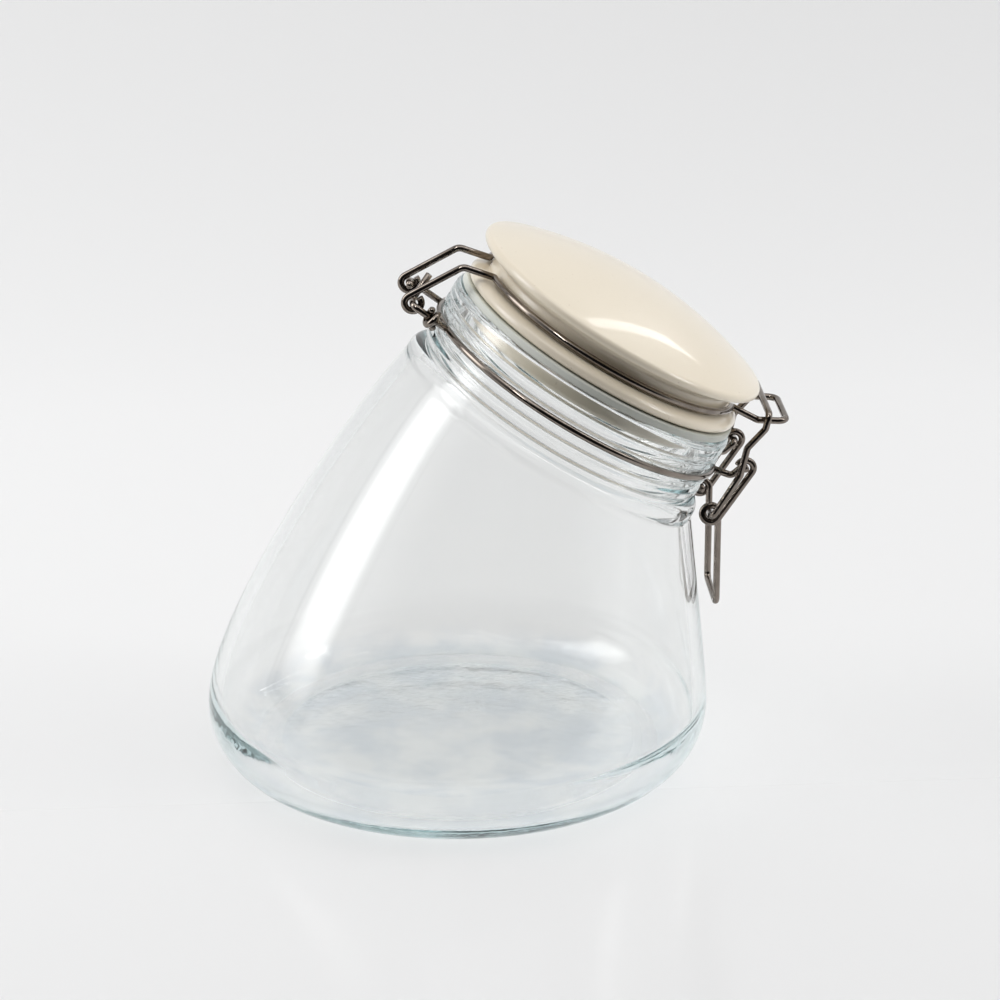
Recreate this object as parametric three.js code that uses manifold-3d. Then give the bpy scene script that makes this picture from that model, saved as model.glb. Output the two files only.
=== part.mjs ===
// Clear glass storage jar with a leaning mouth, a glazed ceramic lid, a rubber gasket and a wire
// clamp. Millimetres, +Z up. The mouth leans towards +X, where the latch is; the lid's hinge is
// on the -X side. The jar is alike on both sides of the plane y = 0, but for one wire end at the hinge.
import * as THREE from "three";
import Module from "manifold-3d";
import { mergeVertices } from "three/addons/utils/BufferGeometryUtils.js";

// Driving dimensions of the glass
const BODY_RADIUS = 80; // widest ring of the body, just above the heel
const FOOT_RADIUS = 65; // outer edge of the flat ring that the jar stands on
const FOOT_INNER_RADIUS = 57;
const PUSH_UP = 1.6; // hollow under the middle of the base
const HEEL_HEIGHT = 18.3;
const WALL = 4.2;
const FLOOR_HEIGHT = 6.5;
const FLOOR_CROWN = 1; // how much higher the floor is in the middle
const FLOOR_RADIUS = 66;
const INNER_HEEL_HEIGHT = 24;
const TILT = THREE.MathUtils.degToRad(30.5); // lean of the mouth
const MOUTH = new THREE.Vector3(37.6, 0, 122.2); // centre of the neck, level with the neck wire
const SHOULDER_DROP = 16.7; // from the neck wire down to the shoulder, along the neck
const SHOULDER_RADIUS = 52;
const BODY_RUN = 95; // length given to the body's stations between heel and shoulder
const BACK_RISE = 23; // how far the back goes straight up before it leans in
const BACK_LEAN = THREE.MathUtils.degToRad(42); // its lean where it reaches the shoulder
const BACK_SWEEP = 31;
const FRONT_RISE = 8;
const FRONT_SWEEP = new THREE.Vector2(-0.8, 11);

// Driving dimensions of the neck, with heights along it from the level of the neck wire
const NECK_RADIUS = 48; // bottom of the grooves, the neck wire's one among them
const RIDGE_RADIUS = 49.4;
const RIDGE_EDGE = 0.9; // how far a ridge's flank runs along the neck
const RIDGES = [
  [-9.4, -5.6],
  [-4.9, -1.5],
  [1.5, 5.4],
];
const SHOULDER_BEAD = [-14.8, -11.2];
const LIP_LOW = 5.4;
const LIP_BEND = 9.3; // where the lip starts to round over
const LIP_TOP = 11.3;
const LIP_WIDTH = 2; // flat top of the lip
const BORE_RADIUS = 43.8;
const BORE_LOW = -10;

// Driving dimensions of the lid, gasket and wires, with heights measured in the same way
const WIRE = 2.2;
const NECK_WIRE_RADIUS = 49.5;
const BAIL_HEIGHT = 20.7;
const BAIL_RADIUS = 44.1;
const BAIL_GAP = 0.4; // between the lid's waist and the wire in it
const PLUG_RADIUS = 41.6;
const PLUG_LOW = 5.4;
const PLUG_EDGE = 1.2;
const LID_SEAT = 14.6; // underside of the lower rim, which presses on the gasket
const LOWER_RIM_RADIUS = 47.8;
const LOWER_RIM_HEIGHT = 16.5;
const WAIST_LOW = 19.1;
const WAIST_HIGH = 24.4;
const LID_RIM_RADIUS = 49.3;
const LID_RIM_HEIGHT = 28.4;
const LID_EDGE = 1.7; // radius of the rounded upper rim
const LID_EDGE_TURN = THREE.MathUtils.degToRad(70); // how far it rounds to each side
const LID_DOME = 9.2;
const GASKET_BORE = 42.3;
const GASKET_RADIUS = 48.2;
const GASKET_LOW = 11.7;
const GASKET_HIGH = 14.3;
const GASKET_EDGE = 0.7;
const EYE_RADIUS = 2.6; // middle line of every eye that turns on a pin

// Pivots of the clamp in the plane y = 0, as (x, z), and the half spacings along Y
const HINGE = new THREE.Vector2(-13.9, 154.3);
const BAIL_BEND = new THREE.Vector2(1.5, 165.4);
const NOSE_VALLEY = new THREE.Vector2(93.3, 113.6);
const NOSE_TIP = new THREE.Vector2(102.5, 113);
const LEVER_PIVOT = new THREE.Vector2(89.5, 98.4);
const LINK_PIVOT = new THREE.Vector2(79, 83);
const LINK_STEP = new THREE.Vector2(87.6, 97);
const LINK_CRANK = new THREE.Vector2(89.6, 106);
const LINK_KNEE = new THREE.Vector2(95.2, 112.2);
const LINK_BAR = new THREE.Vector2(96.3, 116.9);
const LATCH_LUG_BEND = new THREE.Vector2(85.6, 95);
const HANDLE_LOW = 52;
const HINGE_ARM_Y = 10.2;
const HINGE_LUG_Y = 13.4;
const HINGE_PIN_END_Y = 6.8;
const HINGE_TAIL = new THREE.Vector2(-8.6, 162.2);
const NOSE_Y = 11.2;
const HANDLE_Y = 10.8;
const LEVER_ARM_Y = 13.2;
const LATCH_LUG_Y = 10.4;
const LATCH_PIN_END_Y = 14.3;
const LINK_Y = 15.8;
const LINK_PIN_END_Y = 9.2;
const BAIL_CORNER = 3; // bend radii of the wires
const LINK_CORNER = 2;
const LEVER_CORNER = 2.5;
const LUG_CORNER = 1.8;
const CURL_TURN = 280; // degrees that the lid's wire curls round its hinge pin
const HOOK_TURN = 190; // degrees that the lever hooks round its pin

// Fineness of the round shapes
const ROUND = 48;
const WIRE_SIDES = 8;
const SHARP_TURN = 0.62; // radians: a corner below this is already part of a round
const BEND_STEP = 0.55; // radians
const CORNER_ROOM = 0.48; // share of a straight run that one bend may use
const EYE_STEP = 32; // degrees
const BAIL_STEPS = 18;
const HEEL_STEPS = 6;
const BODY_STEPS = 12;
const INNER_STEPS = 9;
const EDGE_STEPS = 3;
const DOME_STEPS = 7;
const MERGE_DISTANCE = 1e-3;

const wasm = await Module();
wasm.setup();

const glass = new THREE.MeshStandardMaterial({
  color: 0xdfeae8,
  roughness: 0.05,
  metalness: 0,
  transparent: true,
  opacity: 0.35,
});
const ceramic = new THREE.MeshStandardMaterial({ color: 0xece4d4, roughness: 0.22, metalness: 0 });
const rubber = new THREE.MeshStandardMaterial({ color: 0xc3cbc4, roughness: 0.5, metalness: 0 });
const wireMetal = new THREE.MeshStandardMaterial({ color: 0x5c534c, roughness: 0.28, metalness: 1 });

// Directions of the leaning neck: along its axis, and across it towards the latch
const ALONG = new THREE.Vector3(Math.sin(TILT), 0, Math.cos(TILT));
const ACROSS = new THREE.Vector3(Math.cos(TILT), 0, -Math.sin(TILT));

function neckPoint(height, across, y = 0) {
  const point = MOUTH.clone().addScaledVector(ALONG, height).addScaledVector(ACROSS, across);
  point.y = y;
  return point;
}

function flat(point) {
  return new THREE.Vector2(point.x, point.z);
}

// The body is a loft of circles hung between a back rail and a front rail, from heel to shoulder.
const backTop = flat(neckPoint(-SHOULDER_DROP, -SHOULDER_RADIUS));
const frontTop = flat(neckPoint(-SHOULDER_DROP, SHOULDER_RADIUS));
const backSweep = new THREE.Vector2(Math.sin(BACK_LEAN), Math.cos(BACK_LEAN)).multiplyScalar(BACK_SWEEP);
const backRail = new THREE.CubicBezierCurve(
  new THREE.Vector2(-BODY_RADIUS, HEEL_HEIGHT),
  new THREE.Vector2(-BODY_RADIUS, HEEL_HEIGHT + BACK_RISE),
  backTop.clone().sub(backSweep),
  backTop,
);
const frontRail = new THREE.CubicBezierCurve(
  new THREE.Vector2(BODY_RADIUS, HEEL_HEIGHT),
  new THREE.Vector2(BODY_RADIUS, HEEL_HEIGHT + FRONT_RISE),
  frontTop.clone().sub(FRONT_SWEEP),
  frontTop,
);
const NECK_START = HEEL_HEIGHT + BODY_RUN;

// Centre, lean and radius of the glass at a station: upright below the heel's top, hung on the
// rails through the body, and rigidly tilted in the neck.
function stationAt(station) {
  if (station <= HEEL_HEIGHT) {
    return { centre: new THREE.Vector2(0, station), lean: 0, radius: BODY_RADIUS };
  }
  if (station >= NECK_START) {
    const centre = flat(neckPoint(station - NECK_START - SHOULDER_DROP, 0));
    return { centre, lean: TILT, radius: SHOULDER_RADIUS };
  }
  const share = (station - HEEL_HEIGHT) / BODY_RUN;
  const back = backRail.getPoint(share);
  const front = frontRail.getPoint(share);
  const span = front.clone().sub(back);
  return {
    centre: back.add(front).multiplyScalar(0.5),
    lean: Math.atan2(-span.y, span.x),
    radius: span.length() / 2,
  };
}

// A quarter of an ellipse from one profile point to another, the first one left out. It leaves the
// first point level, or upright, and reaches the other the other way.
function quarterRound(from, to, steps, levelFirst) {
  return Array.from({ length: steps }, (_, i) => {
    const angle = ((i + 1) / steps) * (Math.PI / 2);
    const level = levelFirst ? Math.sin(angle) : 1 - Math.cos(angle);
    const upright = levelFirst ? 1 - Math.cos(angle) : Math.sin(angle);
    return new THREE.Vector2(from.x + (to.x - from.x) * level, from.y + (to.y - from.y) * upright);
  });
}

// The neck's profile from the shoulder over the lip and down the bore: a bead above the shoulder,
// ridges with grooves between them, and a rounded lip.
function neckProfile() {
  const at = (radius, height) => new THREE.Vector2(radius, NECK_START + SHOULDER_DROP + height);
  const beadLow = at(SHOULDER_RADIUS, SHOULDER_BEAD[0]);
  const lipFlank = at(RIDGE_RADIUS, LIP_BEND);
  const lipInside = at(BORE_RADIUS + LIP_TOP - LIP_BEND, LIP_TOP);
  return [
    beadLow,
    ...quarterRound(beadLow, at(NECK_RADIUS, SHOULDER_BEAD[1]), EDGE_STEPS, false),
    ...RIDGES.flatMap(([low, high]) => [
      at(NECK_RADIUS, low),
      at(RIDGE_RADIUS, low + RIDGE_EDGE),
      at(RIDGE_RADIUS, high - RIDGE_EDGE),
      at(NECK_RADIUS, high),
    ]),
    at(RIDGE_RADIUS, LIP_LOW + RIDGE_EDGE),
    lipFlank,
    ...quarterRound(lipFlank, at(lipInside.x + LIP_WIDTH, LIP_TOP), EDGE_STEPS, false),
    lipInside,
    ...quarterRound(lipInside, at(BORE_RADIUS, LIP_BEND), EDGE_STEPS, true),
    at(BORE_RADIUS, BORE_LOW),
  ];
}

function glassBody() {
  const foot = new THREE.Vector2(FOOT_RADIUS, 0);
  const heelTop = new THREE.Vector2(BODY_RADIUS, HEEL_HEIGHT);
  const profile = [
    new THREE.Vector2(0, PUSH_UP),
    new THREE.Vector2(FOOT_INNER_RADIUS, 0),
    foot,
    ...quarterRound(foot, heelTop, HEEL_STEPS, true),
  ];
  for (let i = 1; i <= BODY_STEPS; i++) {
    const station = HEEL_HEIGHT + (i / BODY_STEPS) * BODY_RUN;
    profile.push(new THREE.Vector2(stationAt(station).radius, station));
  }
  profile.push(...neckProfile());
  for (let i = 0; i <= INNER_STEPS; i++) {
    const station = NECK_START + (i / INNER_STEPS) * (INNER_HEEL_HEIGHT - NECK_START);
    profile.push(new THREE.Vector2(stationAt(station).radius - WALL, station));
  }
  const floorEdge = new THREE.Vector2(FLOOR_RADIUS, FLOOR_HEIGHT);
  profile.push(...quarterRound(profile.at(-1), floorEdge, HEEL_STEPS, false));
  profile.push(new THREE.Vector2(0, FLOOR_HEIGHT + FLOOR_CROWN));

  const geometry = new THREE.LatheGeometry(profile, ROUND).rotateX(Math.PI / 2);
  const position = geometry.getAttribute("position");
  const vertex = new THREE.Vector3();
  for (let i = 0; i < position.count; i++) {
    vertex.fromBufferAttribute(position, i);
    const { centre, lean } = stationAt(vertex.z);
    position.setXYZ(
      i,
      centre.x + vertex.x * Math.cos(lean),
      vertex.y,
      centre.y - vertex.x * Math.sin(lean),
    );
  }
  geometry.computeVertexNormals();
  return geometry;
}

// A ring or disc turned about the neck's axis from (radius, height) points.
function turned(profile) {
  return new THREE.LatheGeometry(profile, ROUND).rotateX(Math.PI / 2);
}

// The lid from its plug up: plug, lower rim, waist for the wire, rounded upper rim, dome.
function lidGeometry() {
  const waist = BAIL_RADIUS - WIRE / 2 - BAIL_GAP;
  const seat = new THREE.Vector2(LOWER_RIM_RADIUS - LID_EDGE, LID_SEAT);
  const lowerRim = new THREE.Vector2(LOWER_RIM_RADIUS, LOWER_RIM_HEIGHT);
  const upperRim = Array.from({ length: 2 * EDGE_STEPS + 1 }, (_, i) => {
    const angle = (i / EDGE_STEPS - 1) * LID_EDGE_TURN;
    return new THREE.Vector2(
      LID_RIM_RADIUS - LID_EDGE * (1 - Math.cos(angle)),
      LID_RIM_HEIGHT + LID_EDGE * Math.sin(angle),
    );
  });
  const domeFoot = upperRim.at(-1);
  const dome = Array.from({ length: DOME_STEPS }, (_, i) => {
    const share = 1 - (i + 1) / DOME_STEPS;
    return new THREE.Vector2(domeFoot.x * share, domeFoot.y + LID_DOME * (1 - share ** 2));
  });
  return turned([
    new THREE.Vector2(0, PLUG_LOW),
    new THREE.Vector2(PLUG_RADIUS - PLUG_EDGE, PLUG_LOW),
    new THREE.Vector2(PLUG_RADIUS, PLUG_LOW + PLUG_EDGE),
    new THREE.Vector2(PLUG_RADIUS, LID_SEAT),
    seat,
    ...quarterRound(seat, lowerRim, EDGE_STEPS, true),
    ...quarterRound(lowerRim, new THREE.Vector2(waist, WAIST_LOW), EDGE_STEPS, false),
    new THREE.Vector2(waist, WAIST_HIGH),
    ...upperRim,
    ...dome,
  ]);
}

function gasketGeometry() {
  return turned([
    new THREE.Vector2(GASKET_BORE, GASKET_LOW),
    new THREE.Vector2(GASKET_RADIUS - GASKET_EDGE, GASKET_LOW),
    new THREE.Vector2(GASKET_RADIUS, GASKET_LOW + GASKET_EDGE),
    new THREE.Vector2(GASKET_RADIUS, GASKET_HIGH - GASKET_EDGE),
    new THREE.Vector2(GASKET_RADIUS - GASKET_EDGE, GASKET_HIGH),
    new THREE.Vector2(GASKET_BORE, GASKET_HIGH),
    new THREE.Vector2(GASKET_BORE, GASKET_LOW),
  ]);
}

// A bent wire's middle line: it is sampled at its own points, so straight runs stay long.
class WireRoute extends THREE.Curve {
  constructor(points) {
    super();
    this.points = points;
  }
  getPoint(share) {
    const last = this.points.length - 1;
    const index = Math.min(Math.floor(share * last), last - 1);
    return this.points[index].clone().lerp(this.points[index + 1], share * last - index);
  }
  getSpacedPoints() {
    return this.points.map((point) => point.clone());
  }
  getTangentAt(share) {
    const index = Math.round(share * (this.points.length - 1));
    const before = this.points[Math.max(index - 1, 0)];
    const here = this.points[index];
    const after = this.points[Math.min(index + 1, this.points.length - 1)];
    const tangent = new THREE.Vector3();
    if (index > 0) tangent.add(here.clone().sub(before).normalize());
    if (index < this.points.length - 1) tangent.add(after.clone().sub(here).normalize());
    return tangent.normalize();
  }
}

const wireSection = new THREE.Shape(
  Array.from({ length: WIRE_SIDES }, (_, i) => {
    const angle = (i / WIRE_SIDES) * 2 * Math.PI;
    return new THREE.Vector2(Math.cos(angle), Math.sin(angle)).multiplyScalar(WIRE / 2);
  }),
);

function bentWire(points) {
  return new THREE.ExtrudeGeometry(wireSection, {
    steps: points.length - 1,
    extrudePath: new WireRoute(points),
  });
}

// Rounds each sharp corner of a route with an arc of the given radius.
function roundCorners(points, radius) {
  const out = [points[0]];
  for (let i = 1; i < points.length - 1; i++) {
    const corner = points[i];
    const back = points[i - 1].clone().sub(corner);
    const ahead = points[i + 1].clone().sub(corner);
    const turn = Math.PI - back.angleTo(ahead);
    if (turn < SHARP_TURN) {
      out.push(corner);
      continue;
    }
    const room = Math.min(back.length(), ahead.length()) * CORNER_ROOM;
    const setback = Math.min(radius * Math.tan(turn / 2), room);
    const bendRadius = setback / Math.tan(turn / 2);
    const middle = back.clone().normalize().add(ahead.clone().normalize()).normalize();
    const centre = corner.clone().addScaledVector(middle, bendRadius / Math.cos(turn / 2));
    const start = corner.clone().addScaledVector(back.normalize(), setback).sub(centre);
    const end = corner.clone().addScaledVector(ahead.normalize(), setback).sub(centre);
    const axis = start.clone().cross(end).normalize();
    const steps = Math.max(2, Math.ceil(turn / BEND_STEP));
    for (let k = 0; k <= steps; k++) {
      out.push(start.clone().applyAxisAngle(axis, (turn * k) / steps).add(centre));
    }
  }
  out.push(points.at(-1));
  return out;
}

function inPlane(point, y) {
  return new THREE.Vector3(point.x, y, point.y);
}

// Points on an eye round a pivot, from one angle to another in degrees, drifting along Y on the way.
function eye(pivot, fromDeg, toDeg, yFrom, yTo = yFrom) {
  const steps = Math.max(2, Math.round(Math.abs(toDeg - fromDeg) / EYE_STEP));
  return Array.from({ length: steps + 1 }, (_, i) => {
    const share = i / steps;
    const angle = THREE.MathUtils.degToRad(fromDeg + (toDeg - fromDeg) * share);
    return new THREE.Vector3(
      pivot.x + EYE_RADIUS * Math.cos(angle),
      yFrom + (yTo - yFrom) * share,
      pivot.y + EYE_RADIUS * Math.sin(angle),
    );
  });
}

function mirrored(points) {
  return points.map((point) => new THREE.Vector3(point.x, -point.y, point.z)).reverse();
}

// An arc of a ring round the neck at y < 0, from the hinge side to the latch side.
function neckArc(height, radius, hingeY, latchY) {
  const from = Math.PI + Math.asin(hingeY / radius);
  const to = 2 * Math.PI - Math.asin(latchY / radius);
  return Array.from({ length: BAIL_STEPS + 1 }, (_, i) => {
    const angle = from + ((to - from) * i) / BAIL_STEPS;
    return neckPoint(height, radius * Math.cos(angle), radius * Math.sin(angle));
  });
}

// The lid's wire: an open curl on each hinge pin, an arm over the lid's waist, and a closed nose.
function lidBail() {
  const arm = BAIL_BEND.clone().sub(HINGE);
  const tangentDeg = THREE.MathUtils.radToDeg(arm.angle() + Math.acos(EYE_RADIUS / arm.length()));
  const front = [
    ...eye(HINGE, tangentDeg + CURL_TURN, tangentDeg, -HINGE_ARM_Y),
    inPlane(BAIL_BEND, -HINGE_ARM_Y),
    ...neckArc(BAIL_HEIGHT, BAIL_RADIUS, HINGE_ARM_Y, NOSE_Y),
    inPlane(NOSE_VALLEY, -NOSE_Y),
    inPlane(NOSE_TIP, -NOSE_Y),
  ];
  return bentWire(roundCorners([...front, ...mirrored(front)], BAIL_CORNER));
}

// The link: a bar over the nose, two cranked legs, and a pin on each that turns in the lever's coil.
function latchLink() {
  const side = [
    inPlane(LINK_PIVOT, -LINK_PIN_END_Y),
    inPlane(LINK_PIVOT, -LINK_Y),
    inPlane(LINK_STEP, -LINK_Y),
    inPlane(LINK_CRANK, -LINK_Y),
    inPlane(LINK_KNEE, -LINK_Y),
    inPlane(LINK_BAR, -LINK_Y),
  ];
  return bentWire(roundCorners([...side, ...mirrored(side)], LINK_CORNER));
}

// The lever: an open hook on each latch pin, an arm, a coil for the link, and the finger loop.
function latchLever() {
  const arm = LINK_PIVOT.clone().sub(LEVER_PIVOT);
  const armDeg = THREE.MathUtils.radToDeg(arm.angle()) + 90 - 360;
  const side = [
    ...eye(LEVER_PIVOT, armDeg + HOOK_TURN, armDeg, -LEVER_ARM_Y),
    ...eye(LINK_PIVOT, armDeg, -360, -LEVER_ARM_Y, -HANDLE_Y),
    inPlane(new THREE.Vector2(LINK_PIVOT.x + EYE_RADIUS, HANDLE_LOW), -HANDLE_Y),
  ];
  return bentWire(roundCorners([...side, ...mirrored(side)], LEVER_CORNER));
}

function solidOf(geometry) {
  geometry.deleteAttribute("normal");
  geometry.deleteAttribute("uv");
  const merged = mergeVertices(geometry, MERGE_DISTANCE);
  return new wasm.Manifold(
    new wasm.Mesh({
      numProp: 3,
      vertProperties: merged.getAttribute("position").array,
      triVerts: new Uint32Array(merged.index.array),
    }),
  );
}

function geometryOf(solid) {
  const mesh = solid.getMesh();
  const geometry = new THREE.BufferGeometry();
  geometry.setAttribute("position", new THREE.BufferAttribute(mesh.vertProperties, 3));
  geometry.setIndex(new THREE.BufferAttribute(mesh.triVerts, 1));
  geometry.computeVertexNormals();
  return geometry;
}

// The neck wire: a ring in its groove, with a lug and pin on each side for the hinge and the latch.
function neckWire() {
  const ring = new THREE.TorusGeometry(NECK_WIRE_RADIUS, WIRE / 2, WIRE_SIDES, ROUND);
  ring.rotateY(TILT).translate(MOUTH.x, MOUTH.y, MOUTH.z);
  const onRing = (y, side) => neckPoint(0, side * Math.sqrt(NECK_WIRE_RADIUS ** 2 - y ** 2), y);
  const lugs = [];
  for (const sideY of [-1, 1]) {
    const hingeRoute = [
      onRing(sideY * HINGE_LUG_Y, -1),
      inPlane(HINGE, sideY * HINGE_LUG_Y),
      inPlane(HINGE, sideY * HINGE_PIN_END_Y),
    ];
    if (sideY < 0) hingeRoute.push(inPlane(HINGE_TAIL, sideY * HINGE_PIN_END_Y));
    const latchRoute = [
      onRing(sideY * LATCH_LUG_Y, 1),
      inPlane(LATCH_LUG_BEND, sideY * LATCH_LUG_Y),
      inPlane(LEVER_PIVOT, sideY * LATCH_LUG_Y),
      inPlane(LEVER_PIVOT, sideY * LATCH_PIN_END_Y),
    ];
    lugs.push(bentWire(roundCorners(hingeRoute, LUG_CORNER)), bentWire(roundCorners(latchRoute, LUG_CORNER)));
  }
  return geometryOf(lugs.map(solidOf).reduce((whole, lug) => whole.add(lug), solidOf(ring)));
}

function named(name, geometry, material) {
  const mesh = new THREE.Mesh(geometry, material);
  mesh.name = name;
  return mesh;
}

const neckFrame = new THREE.Group();
neckFrame.position.copy(MOUTH);
neckFrame.rotation.y = TILT;
neckFrame.add(named("lid", lidGeometry(), ceramic), named("gasket", gasketGeometry(), rubber));

const pieces = new THREE.Group();
pieces.add(
  named("glass_body", glassBody(), glass),
  neckFrame,
  named("neck_wire", neckWire(), wireMetal),
  named("lid_bail", lidBail(), wireMetal),
  named("latch_link", latchLink(), wireMetal),
  named("latch_lever", latchLever(), wireMetal),
);

// The part's origin is under the middle of its box, on the surface that it stands on.
const box = new THREE.Box3().setFromObject(pieces, true);
pieces.position.x = -(box.min.x + box.max.x) / 2;

const jar = new THREE.Group();
jar.add(pieces);

export default jar;
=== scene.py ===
# %% [markdown]
# # A clip-top jar with a leaning mouth
# This lesson dresses a measured model of a clear glass storage jar: a wide round body whose neck leans to
# one side, an ivory ceramic lid, a rubber seal and a clamp of dark wire. The measured model comes first,
# as a fixed frame. It says where each piece is, what it turns on and how large it may be.

# %% Load the measured model
import math

import bmesh
import bpy
from mathutils import Matrix, Vector


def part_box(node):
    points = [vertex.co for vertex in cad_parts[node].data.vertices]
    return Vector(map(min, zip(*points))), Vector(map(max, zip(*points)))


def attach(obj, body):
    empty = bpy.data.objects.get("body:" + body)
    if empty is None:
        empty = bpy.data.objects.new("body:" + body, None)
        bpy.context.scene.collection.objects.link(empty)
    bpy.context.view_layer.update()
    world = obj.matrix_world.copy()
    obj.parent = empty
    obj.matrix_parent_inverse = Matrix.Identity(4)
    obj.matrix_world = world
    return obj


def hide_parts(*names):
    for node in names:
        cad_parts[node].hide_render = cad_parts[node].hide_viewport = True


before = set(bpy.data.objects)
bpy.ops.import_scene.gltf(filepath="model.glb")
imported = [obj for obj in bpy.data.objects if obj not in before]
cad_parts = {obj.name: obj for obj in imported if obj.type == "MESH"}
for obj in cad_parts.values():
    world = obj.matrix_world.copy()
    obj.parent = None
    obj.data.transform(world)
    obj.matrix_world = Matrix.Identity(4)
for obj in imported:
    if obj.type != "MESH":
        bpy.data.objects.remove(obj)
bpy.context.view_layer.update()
MM = 0.001

# %% [markdown]
# ## The camera
# A product shot uses a long lens from a good distance, so that the jar keeps its proportions. The camera
# is placed on a ball round the jar by an azimuth and an elevation, and looks at a point a little above
# the middle.

# %% Camera
SENSOR = 36.0
LENS = 133.14
VIEW_AZIMUTH = math.radians(-4.38)
VIEW_ELEVATION = math.radians(21.16)
VIEW_DISTANCE = 1167.85 * MM
VIEW_TARGET = Vector((1.84, 0, 84.87)) * MM


def outward(azimuth, elevation):
    """The direction from the jar to something at that azimuth and elevation, in radians."""
    level = math.cos(elevation)
    return Vector((math.sin(azimuth) * level, -math.cos(azimuth) * level, math.sin(elevation)))


camera_data = bpy.data.cameras.new("studio_camera")
camera_data.sensor_width = SENSOR
camera_data.lens = LENS
camera_data.clip_start = 0.01
camera_data.clip_end = 50
camera = bpy.data.objects.new("studio_camera", camera_data)
bpy.context.scene.collection.objects.link(camera)
to_camera = outward(VIEW_AZIMUTH, VIEW_ELEVATION)
camera.location = VIEW_TARGET + to_camera * VIEW_DISTANCE
camera.rotation_mode = "QUATERNION"
camera.rotation_quaternion = (-to_camera).to_track_quat("-Z", "Y")
bpy.context.scene.camera = camera
print("camera at", [round(x, 3) for x in camera.location])

# %% [markdown]
# ## Sizes of the jar
# The looks have to lie exactly on the measured solids, so the same driving sizes are named here, in
# metres. The body's middle is read from the frame, and the neck has a frame of its own: its Z runs along
# the leaning neck from the level of the neck wire, and its X runs across the neck towards the latch.

# %% Sizes
BODY_RADIUS = 80 * MM
BODY_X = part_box("glass_body")[0].x + BODY_RADIUS
TILT = math.radians(30.5)
MOUTH = Vector((BODY_X + 37.6 * MM, 0, 122.2 * MM))
NECK = Matrix.Translation(MOUTH) @ Matrix.Rotation(TILT, 4, "Y")
WIRE = 2.2 * MM
print("body middle at x =", round(BODY_X / MM, 2), "mm")

# %% [markdown]
# ## Shader maths that reads like maths
# A material is a graph of nodes. Adding every Math node by hand hides the idea behind the wiring, so one
# small class wraps a socket and lets Python's own signs add the nodes. Every other node comes from one
# method: its type, then its settings, then the values or links of its sockets.

# %% Shader helpers
class Socket:
    """An output of a node, with Python's signs for sums and products of values."""

    def __init__(self, finish, output):
        self.finish = finish
        self.output = output

    def maths(self, operation, first, second):
        return self.finish.node("ShaderNodeMath", {"operation": operation}, {0: first, 1: second})

    def __add__(self, other):
        return self.maths("ADD", self, other)

    def __sub__(self, other):
        return self.maths("SUBTRACT", self, other)

    def __mul__(self, other):
        return self.maths("MULTIPLY", self, other)

    def __truediv__(self, other):
        return self.maths("DIVIDE", self, other)

    def __radd__(self, other):
        return self.maths("ADD", other, self)

    def __rsub__(self, other):
        return self.maths("SUBTRACT", other, self)

    def __rmul__(self, other):
        return self.maths("MULTIPLY", other, self)

    def __rtruediv__(self, other):
        return self.maths("DIVIDE", other, self)


class Finish:
    """A material, or the world, that is being put together node by node."""

    def __init__(self, owner):
        self.owner = owner
        self.owner.use_nodes = True
        self.tree = self.owner.node_tree
        self.tree.nodes.clear()

    def node(self, kind, settings=None, sockets=None, output=0):
        made = self.tree.nodes.new(kind)
        for name, value in (settings or {}).items():
            setattr(made, name, value)
        for name, value in (sockets or {}).items():
            if isinstance(value, Socket):
                self.tree.links.new(value.output, made.inputs[name])
            else:
                made.inputs[name].default_value = value
        return Socket(self, made.outputs[output])

    def place(self):
        return self.node("ShaderNodeTexCoord", output="Object")

    def noise(self, vector, scale, detail=2.0, roughness=0.5):
        sockets = {"Vector": vector, "Scale": scale, "Detail": detail, "Roughness": roughness}
        return self.node("ShaderNodeTexNoise", {}, sockets)

    def spread(self, value, low, high, to_low=0.0, to_high=1.0):
        sockets = {"Value": value, 1: low, 2: high, 3: to_low, 4: to_high}
        return self.node("ShaderNodeMapRange", {"interpolation_type": "SMOOTHSTEP"}, sockets)

    def blend(self, share, first, second):
        sockets = {"Factor": share, 6: (*first, 1), 7: (*second, 1)}
        return self.node("ShaderNodeMix", {"data_type": "RGBA"}, sockets, output=2)

    def bump(self, height, depth, strength=1.0):
        return self.node("ShaderNodeBump", {}, {"Height": height, "Distance": depth, "Strength": strength})

    def surface(self, shader, volume=None, kind="ShaderNodeOutputMaterial"):
        output = self.tree.nodes.new(kind)
        self.tree.links.new(shader.output, output.inputs["Surface"])
        if volume:
            self.tree.links.new(volume.output, output.inputs["Volume"])
        return self.owner


print("helpers ready:", Socket.__name__, Finish.__name__)

# %% [markdown]
# ## Helpers for turned and bent shapes
# The glass, the lid and the seal are turned shapes: a profile of a few points, with its corners rounded
# by arcs, spun round an axis. The clamp is round wire: one ring of edges, extruded along a route whose
# corners are rounded by the same function. A finished mesh gets its place in its vertices, so its object
# stays at the origin.

# %% Modelling helpers
ARC_STEP = math.radians(12)
CORNER_ROOM = 0.48


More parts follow.
